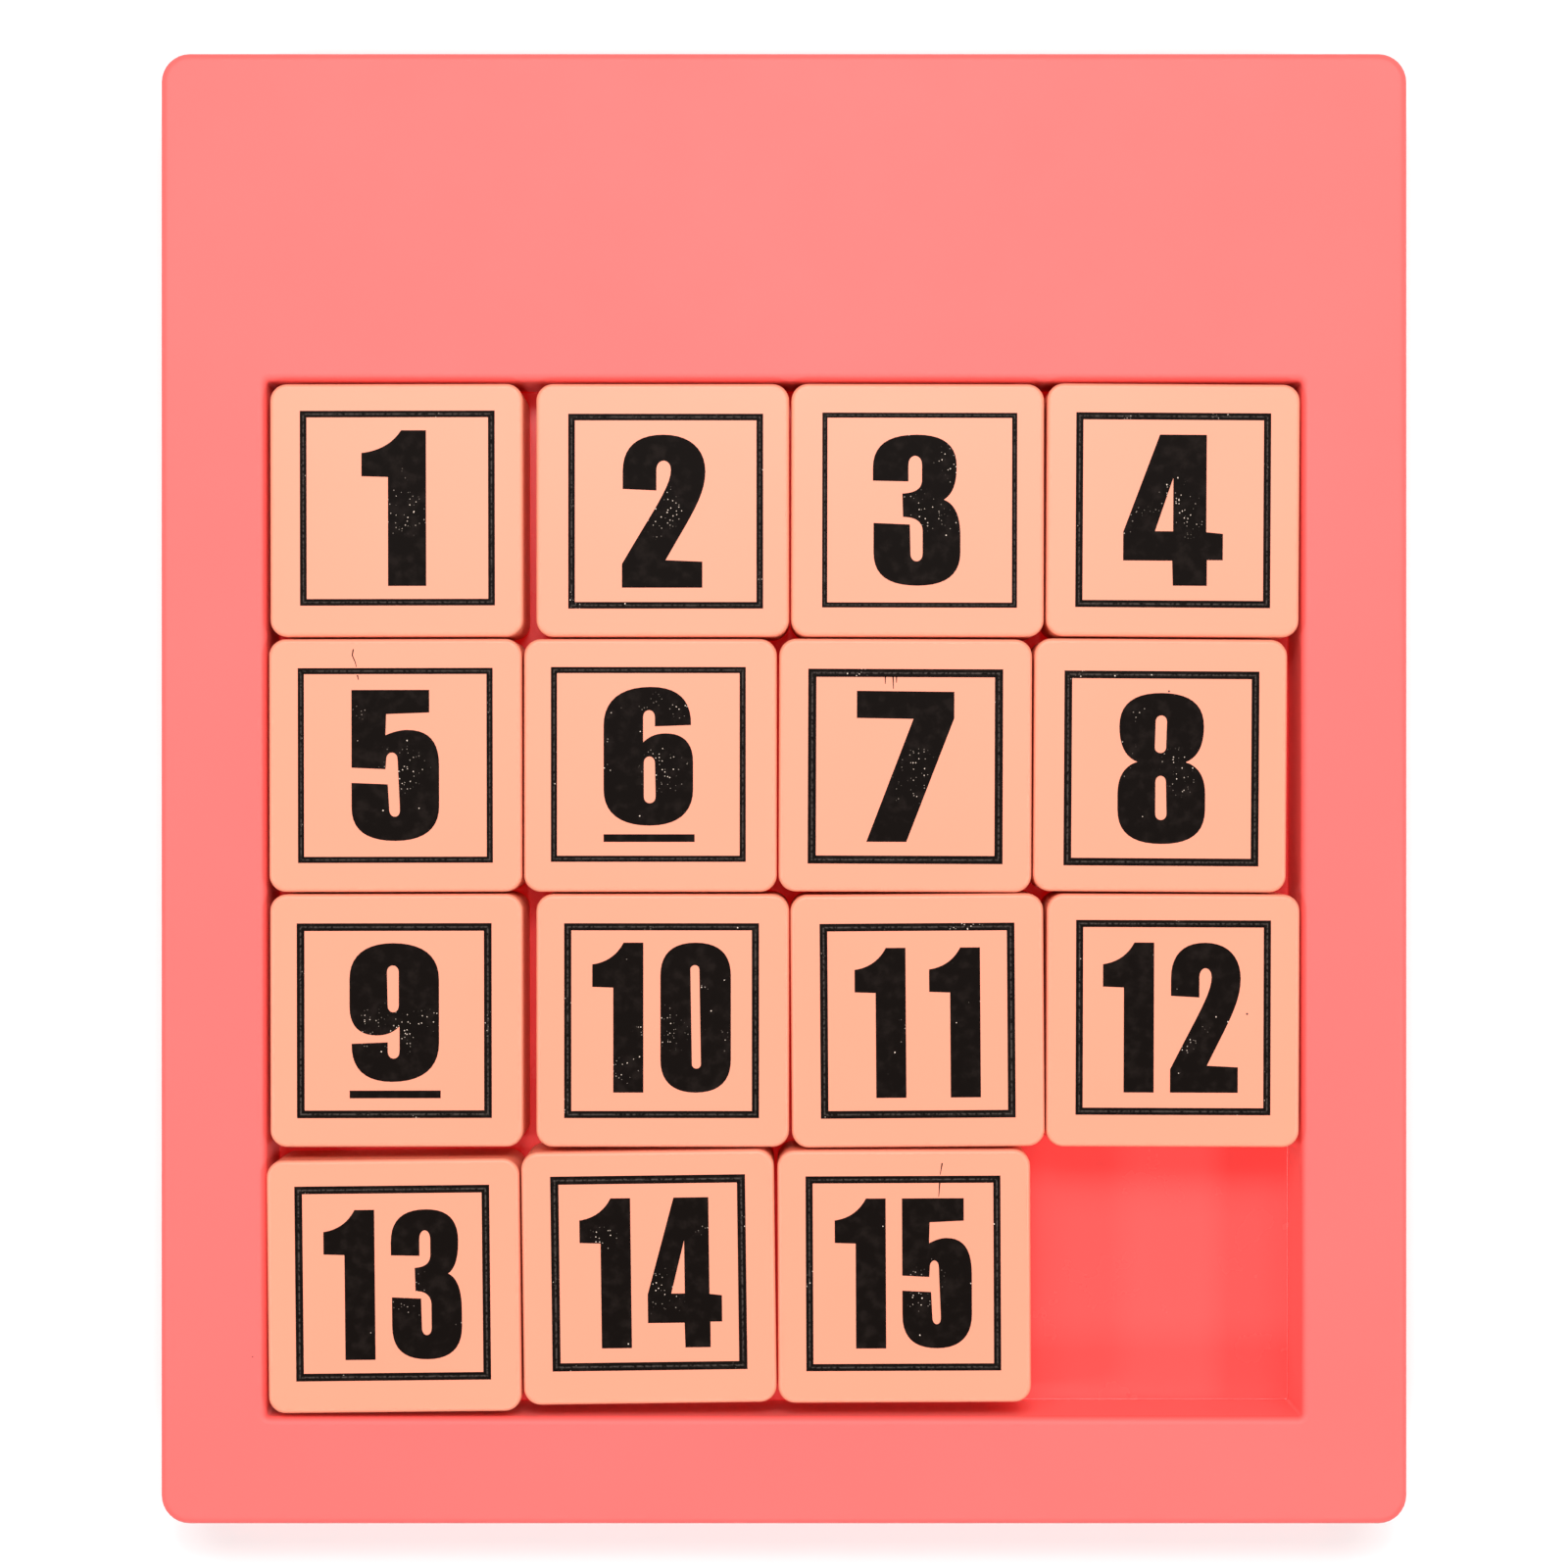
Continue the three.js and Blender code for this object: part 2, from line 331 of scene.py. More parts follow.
CORAL = (0.985, 0.15, 0.138)
CORAL_DEEP = (0.975, 0.138, 0.126)
# The well floor: a darker copy of the coral, painted shade of the deep well.
SHADED_FLOOR_CORAL = (0.985, 0.108, 0.102)
SHADED_FLOOR_CORAL_DEEP = (0.975, 0.1, 0.094)
# The well walls: a lighter copy of the coral, painted light.
LIT_WALL_CORAL = (0.985, 0.21, 0.198)
LIT_WALL_CORAL_DEEP = (0.975, 0.2, 0.188)
PAINTED_GLOW_RED = (1, 0.002, 0.002)  # painted red glow, standing for light scattered inside the coral plastic, seen in the gaps between tiles
PAINTED_GLOW_STRENGTH = 0.13  # strength of that painted glow in the well floor
PEACH = (0.985, 0.345, 0.218)
PEACH_DEEP = (0.975, 0.33, 0.205)
INK = (0.0055, 0.0032, 0.0024)
INK_THIN = (0.013, 0.0085, 0.007)
INK_RUBBED = (0.16, 0.125, 0.11)
BARE_SPECK = (0.9, 0.72, 0.6)
DIRT = (0.05, 0.02, 0.015)
ZINC = (0.62, 0.63, 0.65)
NICKEL = (0.72, 0.70, 0.66)
METAL_CLOUD = 0.82  # brightness of the darker clouds in a metal
RUBBED_SHARE = 0.45  # how far the middle of a border line goes towards the rubbed colour
INK_SPECULAR = 0.04
MOULD_SPREAD = 0.02  # how far the roughness of plastic strays to each side
PLATE_SPREAD = (0.06, 0.08)  # the same for metal, towards smooth and towards rough
DOT_CORE = 0.6  # a dot is at full strength within this share of its radius
PAPER = (0.93, 0.93, 0.93)
PAPER_DEEP = (0.9, 0.9, 0.9)
WHITE = (1, 1, 1)

# ---- studio ----

VIEW_WIDTH = 154.1 * MM  # of the camera's view, at the height of the rim
VIEW_RISE = 0.46 * MM  # how far the camera stands towards the head from the tray's middle
LENS = 80  # millimetres, on a sensor 36 wide
SENSOR = 36
NEAR_CLIP = 0.01
TABLE_SIDE = 6
TABLE_INSET = 1 * MM  # the table is open under the tray, but for this much, to let light in from below
TABLE_Z = -0.02 * MM  # so that the table and the underside don't share a plane
TABLE_GLOW = (0.12, 0.95)  # near the tray, and far from it
TABLE_GLOW_REACH = (0.12, 0.8)  # how far from the middle the glow starts to grow, and is full
WORLD_LIGHT = 0.15
WORLD_BACKDROP = 0.95  # as the camera sees it
LAMP_TARGET = Vector((0, 0, 0))
# Each lamp's place, its two sides in metres and its watts.
LAMPS = {
    "overhead": ((0, 0.25, 0.55), (0.5, 0.25), 1.8),
    "head_light": ((0, 0.17, 0.45), (0.1, 0.1), 0.55),
    "foot_light": ((0, -0.35, 0.4), (0.14, 0.12), 0.6),
    "left_light": ((-0.4, -0.06, 0.44), (0.1, 0.1), 0.96),
    "right_light": ((0.4, -0.06, 0.44), (0.1, 0.1), 0.96),
    "under_light": ((0, 0, -0.6), (0.8, 0.8), 3),
}

# ---- sizes from the frame ----

TILES = [f"{number:02d}" for number in range(1, 16)]
SCREWS = range(1, 5)
straight_low, straight_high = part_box("tile_02_cap")  # this tile stands square
TILE_SIDE = straight_high.x - straight_low.x
TILE_HEIGHT = straight_high.z - straight_low.z
BASE_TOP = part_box("tile_02_base")[1].z - straight_low.z
magnet_low, magnet_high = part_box("tile_02_magnet")
MAGNET_RADIUS = (magnet_high.x - magnet_low.x) / 2
MAGNET_HEIGHT = magnet_high.z - magnet_low.z
SHEET_LOW, SHEET_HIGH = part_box("steel_sheet")
WELL_Y = (SHEET_LOW.y + SHEET_HIGH.y) / 2
WELL_SIDE = SHEET_HIGH.x - SHEET_LOW.x - 2 * SHEET_OVERLAP
LENGTH_NEAR = 0.005 * MM  # lengths this close are taken as the same
LEVEL_NEAR = 0.001 * MM  # an edge that rises less than this is level

# ---- mesh tools ----


def outline(width, length, radius, z, centre=(0, 0)):
    """A level rectangle with rounded corners, as the same number of points whatever its size."""
    points = []
    for corner in range(4):
        x = centre[0] + (width / 2 - radius) * (1 if corner in (0, 3) else -1)
        y = centre[1] + (length / 2 - radius) * (1 if corner < 2 else -1)
        for step in range(CORNER_STEPS + 1):
            angle = (corner + step / CORNER_STEPS) * QUARTER_TURN
            points.append(Vector((x + radius * math.cos(angle), y + radius * math.sin(angle), z)))
    return points


def disc(radius, z):
    """A level circle, with as many points as an outline."""
    return outline(2 * radius, 2 * radius, radius, z)


def quarter(radius):
    """The steps of a quarter round: how far in from the side, and how far below the top."""
    angles = [step / EDGE_STEPS * QUARTER_TURN for step in range(EDGE_STEPS + 1)]
    return [(radius * (1 - math.cos(a)), radius * (1 - math.sin(a))) for a in angles]


def mesh_object(name, bm):
    """An object made of this mesh, with its doubled points joined and its faces pointing out."""
    bmesh.ops.remove_doubles(bm, verts=bm.verts, dist=DOUBLED)
    bmesh.ops.recalc_face_normals(bm, faces=bm.faces)
    mesh = bpy.data.meshes.new(name)
    bm.to_mesh(mesh)
    bm.free()
    made = bpy.data.objects.new(name, mesh)
    bpy.context.scene.collection.objects.link(made)
    return made


def loft(name, rings):
    """The closed body through a stack of rings that have as many points each."""
    bm = bmesh.new()
    loops = [[bm.verts.new(point) for point in ring] for ring in rings]
    for low, high in zip(loops, loops[1:]):
        for i in range(len(low)):
            bm.faces.new((low[i - 1], low[i], high[i], high[i - 1]))
    bm.faces.new(loops[0])
    bm.faces.new(loops[-1])
    return mesh_object(name, bm)


def circle(z, radius):
    """A level circle. Its radius may be a function of how far round a point is, from 0 to 1."""
    points = []
    for side in range(ROUND_SIDES):
        share = side / ROUND_SIDES
        angle = 2 * math.pi * share
        reach = radius(share) if callable(radius) else radius
        points.append(Vector((reach * math.cos(angle), reach * math.sin(angle), z)))
    return points


def turned(name, profile, place=(0, 0)):
    """A body turned about an upright axis, from a profile of (radius, z) pairs with flat ends."""
    body = loft(name, [circle(z, radius) for radius, z in profile])
    body.data.transform(Matrix.Translation((*place, 0)))
    return body


def prism(name, width, length, low, high, centre=(0, 0), radius=CUTTER_CORNER):
    """An upright block with rounded corners, for cutting with."""
    return loft(name, [outline(width, length, radius, z, centre) for z in (low, high)])


def carve(body, cutters):
    """Cuts every cutter out of a body, and removes the cutters."""
    for cutter in cutters:
        cut = body.modifiers.new(cutter.name, "BOOLEAN")
        cut.operation = "DIFFERENCE"
        cut.solver = "EXACT"
        cut.object = cutter
    done = body.evaluated_get(bpy.context.evaluated_depsgraph_get())
    mesh = bpy.data.meshes.new_from_object(done)
    body.modifiers.clear()
    body.data = mesh
    for cutter in cutters:
        bpy.data.objects.remove(cutter)


def smooth(piece):
    """Shades a piece smoothly over its rounded edges, with flat faces flat and hard edges crisp."""
    bm = bmesh.new()
    bm.from_mesh(piece.data)
    bmesh.ops.remove_doubles(bm, verts=bm.verts, dist=DOUBLED)
    for face in bm.faces:
        face.smooth = True
    for edge in bm.edges:
        edge.smooth = len(edge.link_faces) == 2 and edge.calc_face_angle() < HARD_ANGLE
    bm.to_mesh(piece.data)
    bm.free()
    weighted = piece.modifiers.new("flat_faces", "WEIGHTED_NORMAL")
    weighted.keep_sharp = True
    return piece


def dress(piece, body, slot, finishes, *nodes):
    """Gives a piece its finishes, its body and the CAD nodes it stands for. Its slot is not used."""
    piece.data.materials.clear()
    for finish in finishes:
        piece.data.materials.append(finish)
    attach(piece, body)
    if nodes:
        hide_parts(*nodes)


# ---- finishes ----


def colour(rgb):
    """A colour with its alpha."""
    return (*rgb, 1)


class Finish:
    """A material, and short ways to add to its nodes."""

    def __init__(self, name, roughness, metallic=0.0):
        self.material = bpy.data.materials.new(name)
        self.material.use_nodes = True
        self.tree = self.material.node_tree
        self.shader = self.tree.nodes["Principled BSDF"]
        self.shader.inputs["Roughness"].default_value = roughness
        self.shader.inputs["Metallic"].default_value = metallic
        self.place = self.tree.nodes.new("ShaderNodeTexCoord").outputs["Object"]

    def node(self, kind, **inputs):
        """A new node of this kind, with these inputs."""
        made = self.tree.nodes.new(kind)
        for name, value in inputs.items():
            self.put(value, self.socket(made, name))
        return made

    def socket(self, node, name):
        """A node's input by its keyword."""
        return node.inputs[name.replace("_", " ").title().replace("Ior", "IOR")]

    def put(self, value, socket):
        """Links an output to a socket, or sets the socket's own value."""
        if isinstance(value, bpy.types.NodeSocket):
            self.tree.links.new(value, socket)
        else:
            socket.default_value = value

    def noise(self, size, detail=2):
        """Cloudy noise whose patches are about this size."""
        clouds = self.node("ShaderNodeTexNoise", vector=self.place, scale=1 / size, detail=detail)
        return clouds.outputs["Fac"]

    def dots(self, spacing, radius, share):
        """Round dots of this radius, at about this spacing, of which only a share is there."""
        cells = self.node("ShaderNodeTexVoronoi", vector=self.place, scale=1 / spacing)
        rim = radius / spacing
        near = self.step(cells.outputs["Distance"], low=rim, high=rim * DOT_CORE)
        lot = self.tree.nodes.new("ShaderNodeSeparateColor")
        self.put(cells.outputs["Color"], lot.inputs["Color"])
        return self.math("MULTIPLY", near, self.math("LESS_THAN", lot.outputs["Red"], share))

    def from_middle(self, middle, pitch):
        """How far off a point is, on the level, from the nearest of the middles at this pitch."""
        offset = self.vector("SUBTRACT", self.place, Vector(middle))
        wrapped = self.vector("WRAP", offset, Vector((pitch,) * 3) / 2, Vector((pitch,) * 3) / -2)
        flat = self.vector("MULTIPLY", wrapped, Vector((1, 1, 0)))
        return self.vector("LENGTH", flat, name="Value")

    def vector(self, operation, *values, name="Vector"):
        """The named output of a vector operation on these values."""
        made = self.tree.nodes.new("ShaderNodeVectorMath")
        made.operation = operation
        for value, socket in zip(values, made.inputs):
            self.put(value, socket)
        return made.outputs[name]

    def math(self, operation, a, b):
        """The outcome of an operation on two numbers."""
        made = self.tree.nodes.new("ShaderNodeMath")
        made.operation = operation
        self.put(a, made.inputs[0])
        self.put(b, made.inputs[1])
        return made.outputs[0]

    def step(self, value, low, high):
        """0 where the value is at low and 1 where it is at high, with a smooth change between."""
        made = self.tree.nodes.new("ShaderNodeMapRange")
        made.interpolation_type = "SMOOTHSTEP"
        self.put(value, made.inputs["Value"])
        made.inputs["From Min"].default_value = low
        made.inputs["From Max"].default_value = high
        return made.outputs["Result"]

    def span(self, value, low, high):
        """A value from 0 to 1 spread from low to high."""
        made = self.tree.nodes.new("ShaderNodeMapRange")
        self.put(value, made.inputs["Value"])
        made.inputs["To Min"].default_value = low
        made.inputs["To Max"].default_value = high
        return made.outputs["Result"]

    def mix(self, share, a, b):
        """Colour a where the share is 0, changing to b where it is 1."""
        made = self.tree.nodes.new("ShaderNodeMix")
        made.data_type = "RGBA"
        self.put(share, made.inputs["Factor"])
        for value, socket in ((a, made.inputs[6]), (b, made.inputs[7])):
            self.put(colour(value) if isinstance(value, tuple) else value, socket)
        return made.outputs[2]

    def bump(self, height, depth):
        """Makes the surface rise by up to this depth with a height from 0 to 1."""
        made = self.tree.nodes.new("ShaderNodeBump")
        made.inputs["Strength"].default_value = 1
        made.inputs["Distance"].default_value = depth
        self.put(height, made.inputs["Height"])
        self.put(made.outputs["Normal"], self.shader.inputs["Normal"])

    def set(self, **inputs):
        """Sets or links inputs of the surface, and gives the material."""
        for name, value in inputs.items():
            self.put(value, self.socket(self.shader, name))
        return self.material


def moulded(name, light, deep, roughness, grain, inner=0):
    """Moulded plastic: clouds of tone, grain of this depth, specks of dirt and a painted red glow of
    strength inner.
    """
    finish = Finish(name, roughness)
    # A painted red glow, of strength inner, stands for light scattered inside the plastic.
    finish.set(emission_color=colour(PAINTED_GLOW_RED), emission_strength=inner)
    tone = finish.mix(finish.noise(size=18 * MM), light, deep)
    dirt = finish.dots(spacing=9 * MM, radius=0.13 * MM, share=0.3)
    finish.bump(finish.noise(size=0.25 * MM, detail=3), depth=grain)
    patches = finish.noise(size=6 * MM, detail=4)
    rough = finish.span(patches, low=roughness - MOULD_SPREAD, high=roughness + MOULD_SPREAD)
    return finish.set(base_color=finish.mix(dirt, tone, DIRT), roughness=rough)


def printed_ink(middle, pitch):
    """Matt black ink, pitted with pinholes where it didn't take, mostly near the middle of each tile."""
    finish = Finish("printed_ink", roughness=0.5)
    ragged = finish.span(finish.noise(size=2 * MM), low=-2 * MM, high=2 * MM)
    away = finish.math("ADD", finish.from_middle(middle, pitch), ragged)
    cluster = finish.step(away, low=2.6 * MM, high=0.6 * MM)
    patches = finish.step(finish.noise(size=5 * MM, detail=1), low=0.64, high=0.76)
    lot = finish.math("MAXIMUM", cluster, patches)
    pits = finish.dots(spacing=0.28 * MM, radius=0.068 * MM, share=0.5)
    pits = finish.math("MULTIPLY", pits, lot)
    strays = finish.dots(spacing=1.2 * MM, radius=0.08 * MM, share=0.3)
    holes = finish.math("MAXIMUM", pits, strays)
    thin = finish.step(finish.noise(size=1.2 * MM, detail=4), low=0.45, high=0.75)
    across = finish.tree.nodes.new("ShaderNodeAttribute")
    across.attribute_name = ACROSS
    core = finish.step(across.outputs["Fac"], low=0.65, high=1)
    rubbed = finish.step(finish.noise(size=0.3 * MM, detail=3), low=0.35, high=0.6)
    rubbed = finish.math("MULTIPLY", rubbed, core)
    rubbed = finish.math("MULTIPLY", rubbed, RUBBED_SHARE)
    body = finish.mix(rubbed, finish.mix(thin, INK, INK_THIN), INK_RUBBED)
    finish.bump(finish.noise(size=0.2 * MM, detail=3), depth=0.004 * MM)
    return finish.set(base_color=finish.mix(holes, body, BARE_SPECK), specular_ior_level=INK_SPECULAR)


def table_white():
    """A matt white that glows away from the middle, as a lit sweep does, and is clear from underneath."""
    finish = Finish("table_white", roughness=0.8)
    away = finish.step(finish.vector("LENGTH", finish.place, name="Value"), *TABLE_GLOW_REACH)
    finish.set(emission_color=colour(WHITE), emission_strength=finish.span(away, *TABLE_GLOW))
    finish.set(base_color=finish.mix(finish.noise(size=0.3), PAPER, PAPER_DEEP))
    clear = finish.tree.nodes.new("ShaderNodeBsdfTransparent").outputs["BSDF"]
    mixed = finish.tree.nodes.new("ShaderNodeMixShader")
    finish.put(finish.tree.nodes.new("ShaderNodeNewGeometry").outputs["Backfacing"], mixed.inputs[0])
    finish.put(finish.shader.outputs["BSDF"], mixed.inputs[1])
    finish.put(clear, mixed.inputs[2])
    finish.put(mixed.outputs["Shader"], finish.tree.nodes["Material Output"].inputs["Surface"])
    return finish.material


def plated(name, metal, roughness, cloud):
    """Plated metal with a faint lustre, in clouds of this size."""
    finish = Finish(name, roughness, metallic=1.0)
    darker = tuple(METAL_CLOUD * part for part in metal)
    finish.bump(finish.noise(size=0.15 * MM, detail=3), depth=0.003 * MM)
    patches = finish.noise(size=cloud, detail=5)
    rough = finish.span(patches, low=roughness - PLATE_SPREAD[0], high=roughness + PLATE_SPREAD[1])
    tone = finish.mix(finish.noise(size=cloud, detail=4), metal, darker)
    return finish.set(base_color=tone, roughness=rough)


# ---- pieces ----


def edged(width, length, corner, z, radius, upward, centre=(0, 0)):
    """Rings up a rounded edge whose top, or whose foot if not upward, runs into a face at height z."""
    steps = [(i, z - drop) for i, drop in quarter(radius)]
    if not upward:
        steps = [(i, z + drop) for i, drop in quarter(radius)[::-1]]
    return [outline(width - 2 * i, length - 2 * i, corner - i, level, centre) for i, level in steps]


def make_tray(finishes, screws):
    """The tray: rim and panel, the well with its lip, and the hollow below with its ribs and posts."""
    low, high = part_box("tray")
    cover_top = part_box("back_cover")[1].z
    floor = straight_low.z - FIT
    width, length, top = high.x - low.x, high.y - low.y, high.z
    rim = (width - WELL_SIDE) / 2
    centre = (0, WELL_Y)

    rings = edged(width, length, TRAY_CORNER, 0, TRAY_FOOT_EDGE, upward=False)
    rings += edged(width, length, TRAY_CORNER, top, TRAY_EDGE, upward=True)
    for out, drop in quarter(WELL_LIP)[::-1]:
        side = WELL_SIDE + 2 * out
        rings.append(outline(side, side, WELL_CORNER + out, top - drop, centre))
    for i, rise in quarter(WELL_FLOOR_EDGE):
        side = WELL_SIDE - 2 * i
        rings.append(outline(side, side, WELL_CORNER, floor + rise, centre))
    tray = loft("tray_moulding", rings)

    inside = (width - 2 * TRAY_SKIN, length - 2 * TRAY_SKIN)
    corner = TRAY_CORNER - TRAY_SKIN
    cover_room = cover_top + FIT
    hollow = prism("hollow", *inside, cover_room / 2, top - TRAY_SKIN, radius=corner)
    around = WELL_SIDE + 2 * WELL_WALL
    kept = [prism("walls", around, around, -top, 2 * top, centre)]
    panel = length - WELL_SIDE - rim
    for line in (-1, 0, 1):
        offset = line * WELL_SIDE / PLACES
        kept.append(prism("rib", RIB, panel, -top, 2 * top, (offset, (length - panel) / 2)))
        kept.append(prism("rib", width, RIB, -top, 2 * top, (0, WELL_Y + offset)))
    for place in screws:
        kept.append(turned("post", [(POST_RADIUS, -top), (POST_RADIUS, 2 * top)], place))
    carve(hollow, kept)

    sheet_room = SHEET_HIGH.x - SHEET_LOW.x + 2 * FIT
    holes = [
        hollow,
        prism("cover_room", *inside, -top, cover_room, radius=corner),
        prism("sheet_room", sheet_room, sheet_room, -top, SHEET_HIGH.z + FIT, centre),
    ]
    screw_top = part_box("cover_screw_1")[1].z
    for place in screws:
        holes.append(turned("hole", [(SCREW_HOLE, -top), (SCREW_HOLE, screw_top + FIT)], place))
    carve(tray, holes)
    dress(smooth(tray), "tray", "tray_plastic", finishes, "tray")
    # The floor of the well takes the darker copy of the coral, painted shade, and its walls the lighter
    # copy, painted light.
    for face in tray.data.polygons:
        x, y, z = face.center
        if max(abs(x), abs(y - WELL_Y)) < WELL_SIDE / 2 + FIT and floor - FIT < z < top - WELL_LIP:
            face.material_index = SHADED_FLOOR_FINISH if z < floor + FIT else LIT_WALL_FINISH


def make_sheet(finish):
    """The steel sheet behind the well floor, with its sheared edges just broken."""
    side, thick = SHEET_HIGH.x - SHEET_LOW.x, SHEET_HIGH.z - SHEET_LOW.z
    rings = []
    for i, rise in ((SHEET_EDGE, 0), (0, SHEET_EDGE), (0, thick - SHEET_EDGE), (SHEET_EDGE, thick)):
        ring = outline(side - 2 * i, side - 2 * i, SHEET_CORNER - i, SHEET_LOW.z + rise, (0, WELL_Y))
        rings.append(ring)
    dress(smooth(loft("backing_sheet", rings)), "tray", "sheet_steel", [finish], "steel_sheet")


def make_cover(finish, screws):
    """The back cover, with broken edges and a countersink for each screw."""
    low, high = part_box("back_cover")
    head_low, head_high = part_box("cover_screw_1")
    width, length, thick = high.x - low.x, high.y - low.y, high.z
    corner = TRAY_CORNER - TRAY_SKIN - FIT
    rings = []
    for i, drop in quarter(COVER_EDGE)[::-1]:
        rings.append(outline(width - 2 * i, length - 2 * i, max(corner - i, COVER_MIN_CORNER), drop))
    rings.append(outline(width, length, corner, thick))
    cover = loft("cover_plate", rings)
    head = (head_high.x - head_low.x) / 2 + FIT
    profile = [(head, -thick), (head, FIT), (SCREW_HOLE, SINK_DEPTH), (SCREW_HOLE, 2 * thick)]
    carve(cover, [turned("sink", profile, place) for place in screws])
    dress(smooth(cover), "tray", "tray_plastic", [finish], "back_cover")


def make_screw(number, finish):
    """A countersunk screw, head down, with a cross recess and a thread."""
    node = f"cover_screw_{number}"
    low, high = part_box(node)
    centre = (low + high) / 2
    head = (high.x - low.x) / 2
    neck, end = low.z + SCREW_NECK, high.z - SCREW_POINT
    rings = [
        circle(low.z, SCREW_MIDDLE),
        circle(low.z, head - SCREW_RIM),
        circle(low.z + SCREW_RIM, head),
        circle(neck, SCREW_CORE),
    ]
    steps = round((end - neck) / THREAD_PITCH * THREAD_ROWS)
    for step in range(1, steps):
        turn = step / THREAD_ROWS
        swell = (SCREW_CREST - SCREW_CORE) * min(1, turn, steps / THREAD_ROWS - turn)

        def thread(share):
            """The radius at this share of the way round. The crest is half a turn from the ring's turn."""
            off_crest = abs((turn - share) % 1 - 0.5)
            return SCREW_CORE + swell * max(0, 1 - THREAD_STEEPNESS * off_crest)

        rings.append(circle(neck + turn * THREAD_PITCH, thread))
    rings += [circle(end, SCREW_CORE), circle(high.z, SCREW_TIP)]
    screw = loft(f"screw_{number}", rings)
    slots = []
    for angle in (0, math.radians(90)):
        sizes = [(1, low.z - FIT), (1, low.z), (RECESS_TAPER, low.z + RECESS_DEPTH)]
        levels = [outline(RECESS_WIDTH * k, RECESS_LENGTH * k, RECESS_CORNER, z) for k, z in sizes]
        slot = loft("slot", levels)
        slot.data.transform(Matrix.Rotation(angle, 4, "Z"))
        slots.append(slot)
    carve(screw, slots)
    screw.data.transform(Matrix.Translation((centre.x, centre.y, 0)))
    dress(smooth(screw), "tray", "screw_steel", [finish], node)


def make_cap(number, place, finish):
    """A tile's cap: rounded outside, hollow inside, with a ledge for the base plate."""
    side, height = TILE_SIDE, TILE_HEIGHT
    ledge_z = BASE_THICKNESS + FIT
    opening = side - 2 * CAP_WALL
    room = opening - 2 * CAP_LEDGE
    inner = CAP_INNER_CORNER
    rings = [outline(room, room, inner, z) for z in (height - CAP_ROOF, ledge_z)]
    rings += [outline(opening, opening, inner, z) for z in (ledge_z, CAP_FOOT_EDGE)]
    rings.append(outline(opening + 2 * CAP_FOOT_EDGE, opening + 2 * CAP_FOOT_EDGE, inner, 0))
    rings += edged(side, side, CAP_CORNER, 0, CAP_FOOT_EDGE, upward=False)
    rings += edged(side, side, CAP_CORNER, height, CAP_EDGE, upward=True)
    cap = loft(f"cap_{number}", rings)
    cap.data.transform(place)
    dress(smooth(cap), f"tile_{number}", "tile_plastic", [finish], f"tile_{number}_cap")


def make_base(number, place, finish):
    """A tile's base plate: flat underneath, with the pocket for the magnet in a round boss."""
    side = TILE_SIDE - 2 * (CAP_WALL + FIT)
    pocket = MAGNET_RADIUS + FIT
    pocket_top = MAGNET_HEIGHT + 2 * FIT
    inner = CAP_INNER_CORNER
    rings = [disc(pocket, pocket_top), disc(pocket, POCKET_EDGE), disc(pocket + POCKET_EDGE, 0)]
    rings.append(outline(side - 2 * BASE_EDGE, side - 2 * BASE_EDGE, inner, 0))
    rings += [outline(side, side, inner, z) for z in (BASE_EDGE, BASE_THICKNESS)]
    rings.append(disc(BOSS_RADIUS, BASE_THICKNESS))
    rings += [disc(BOSS_RADIUS - i, BASE_TOP - drop) for i, drop in quarter(2 * BASE_EDGE)]
    base = loft(f"base_{number}", rings)
    base.data.transform(place)
    dress(smooth(base), f"tile_{number}", "tile_plastic", [finish], f"tile_{number}_base")


def make_magnet(number, place, finish):
    """A plated disc magnet with rounded edges."""
    edge = quarter(MAGNET_EDGE)
    low, high = FIT, FIT + MAGNET_HEIGHT
    profile = [(MAGNET_RADIUS - i, low + drop) for i, drop in edge[::-1]]
    profile += [(MAGNET_RADIUS - i, high - drop) for i, drop in edge]
    magnet = turned(f"magnet_{number}", profile)
    magnet.data.transform(place)
    dress(smooth(magnet), f"tile_{number}", "magnet_nickel", [finish], f"tile_{number}_magnet")


# ---- print ----


def flattened(contour):
    """A contour's corners and curves as points."""
    points = [Vector(contour[0][-2:])]
    for corner in contour[1:]:
        end = Vector(corner[-2:])
        if len(corner) == 6:
            start, first, second = points[-1].copy(), Vector(corner[0:2]), Vector(corner[2:4])
            for step in range(1, CURVE_STEPS):
                t = step / CURVE_STEPS
                u = 1 - t
                points.append(u**3 * start + 3 * u * u * t * first + 3 * u * t * t * second + t**3 * end)
        points.append(end)
    if (points[0] - points[-1]).length < CLOSED:
        points.pop()
    return points


def figure(sign, height, narrow=1.0):
    """A figure's contours at this height, from x 0, and its width."""
    upside_down = sign == "9"
    contours = [flattened(contour) for contour in FIGURES["6" if upside_down else sign]]
    width = max(point.x for contour in contours for point in contour)
    if upside_down:
        corner = Vector((width, FIGURE_HEIGHT))
        contours = [[corner - point for point in contour] for contour in contours]
    up = height / FIGURE_HEIGHT
    across = up * narrow
    return [[Vector((p.x * across, p.y * up)) for p in contour] for contour in contours], width * across


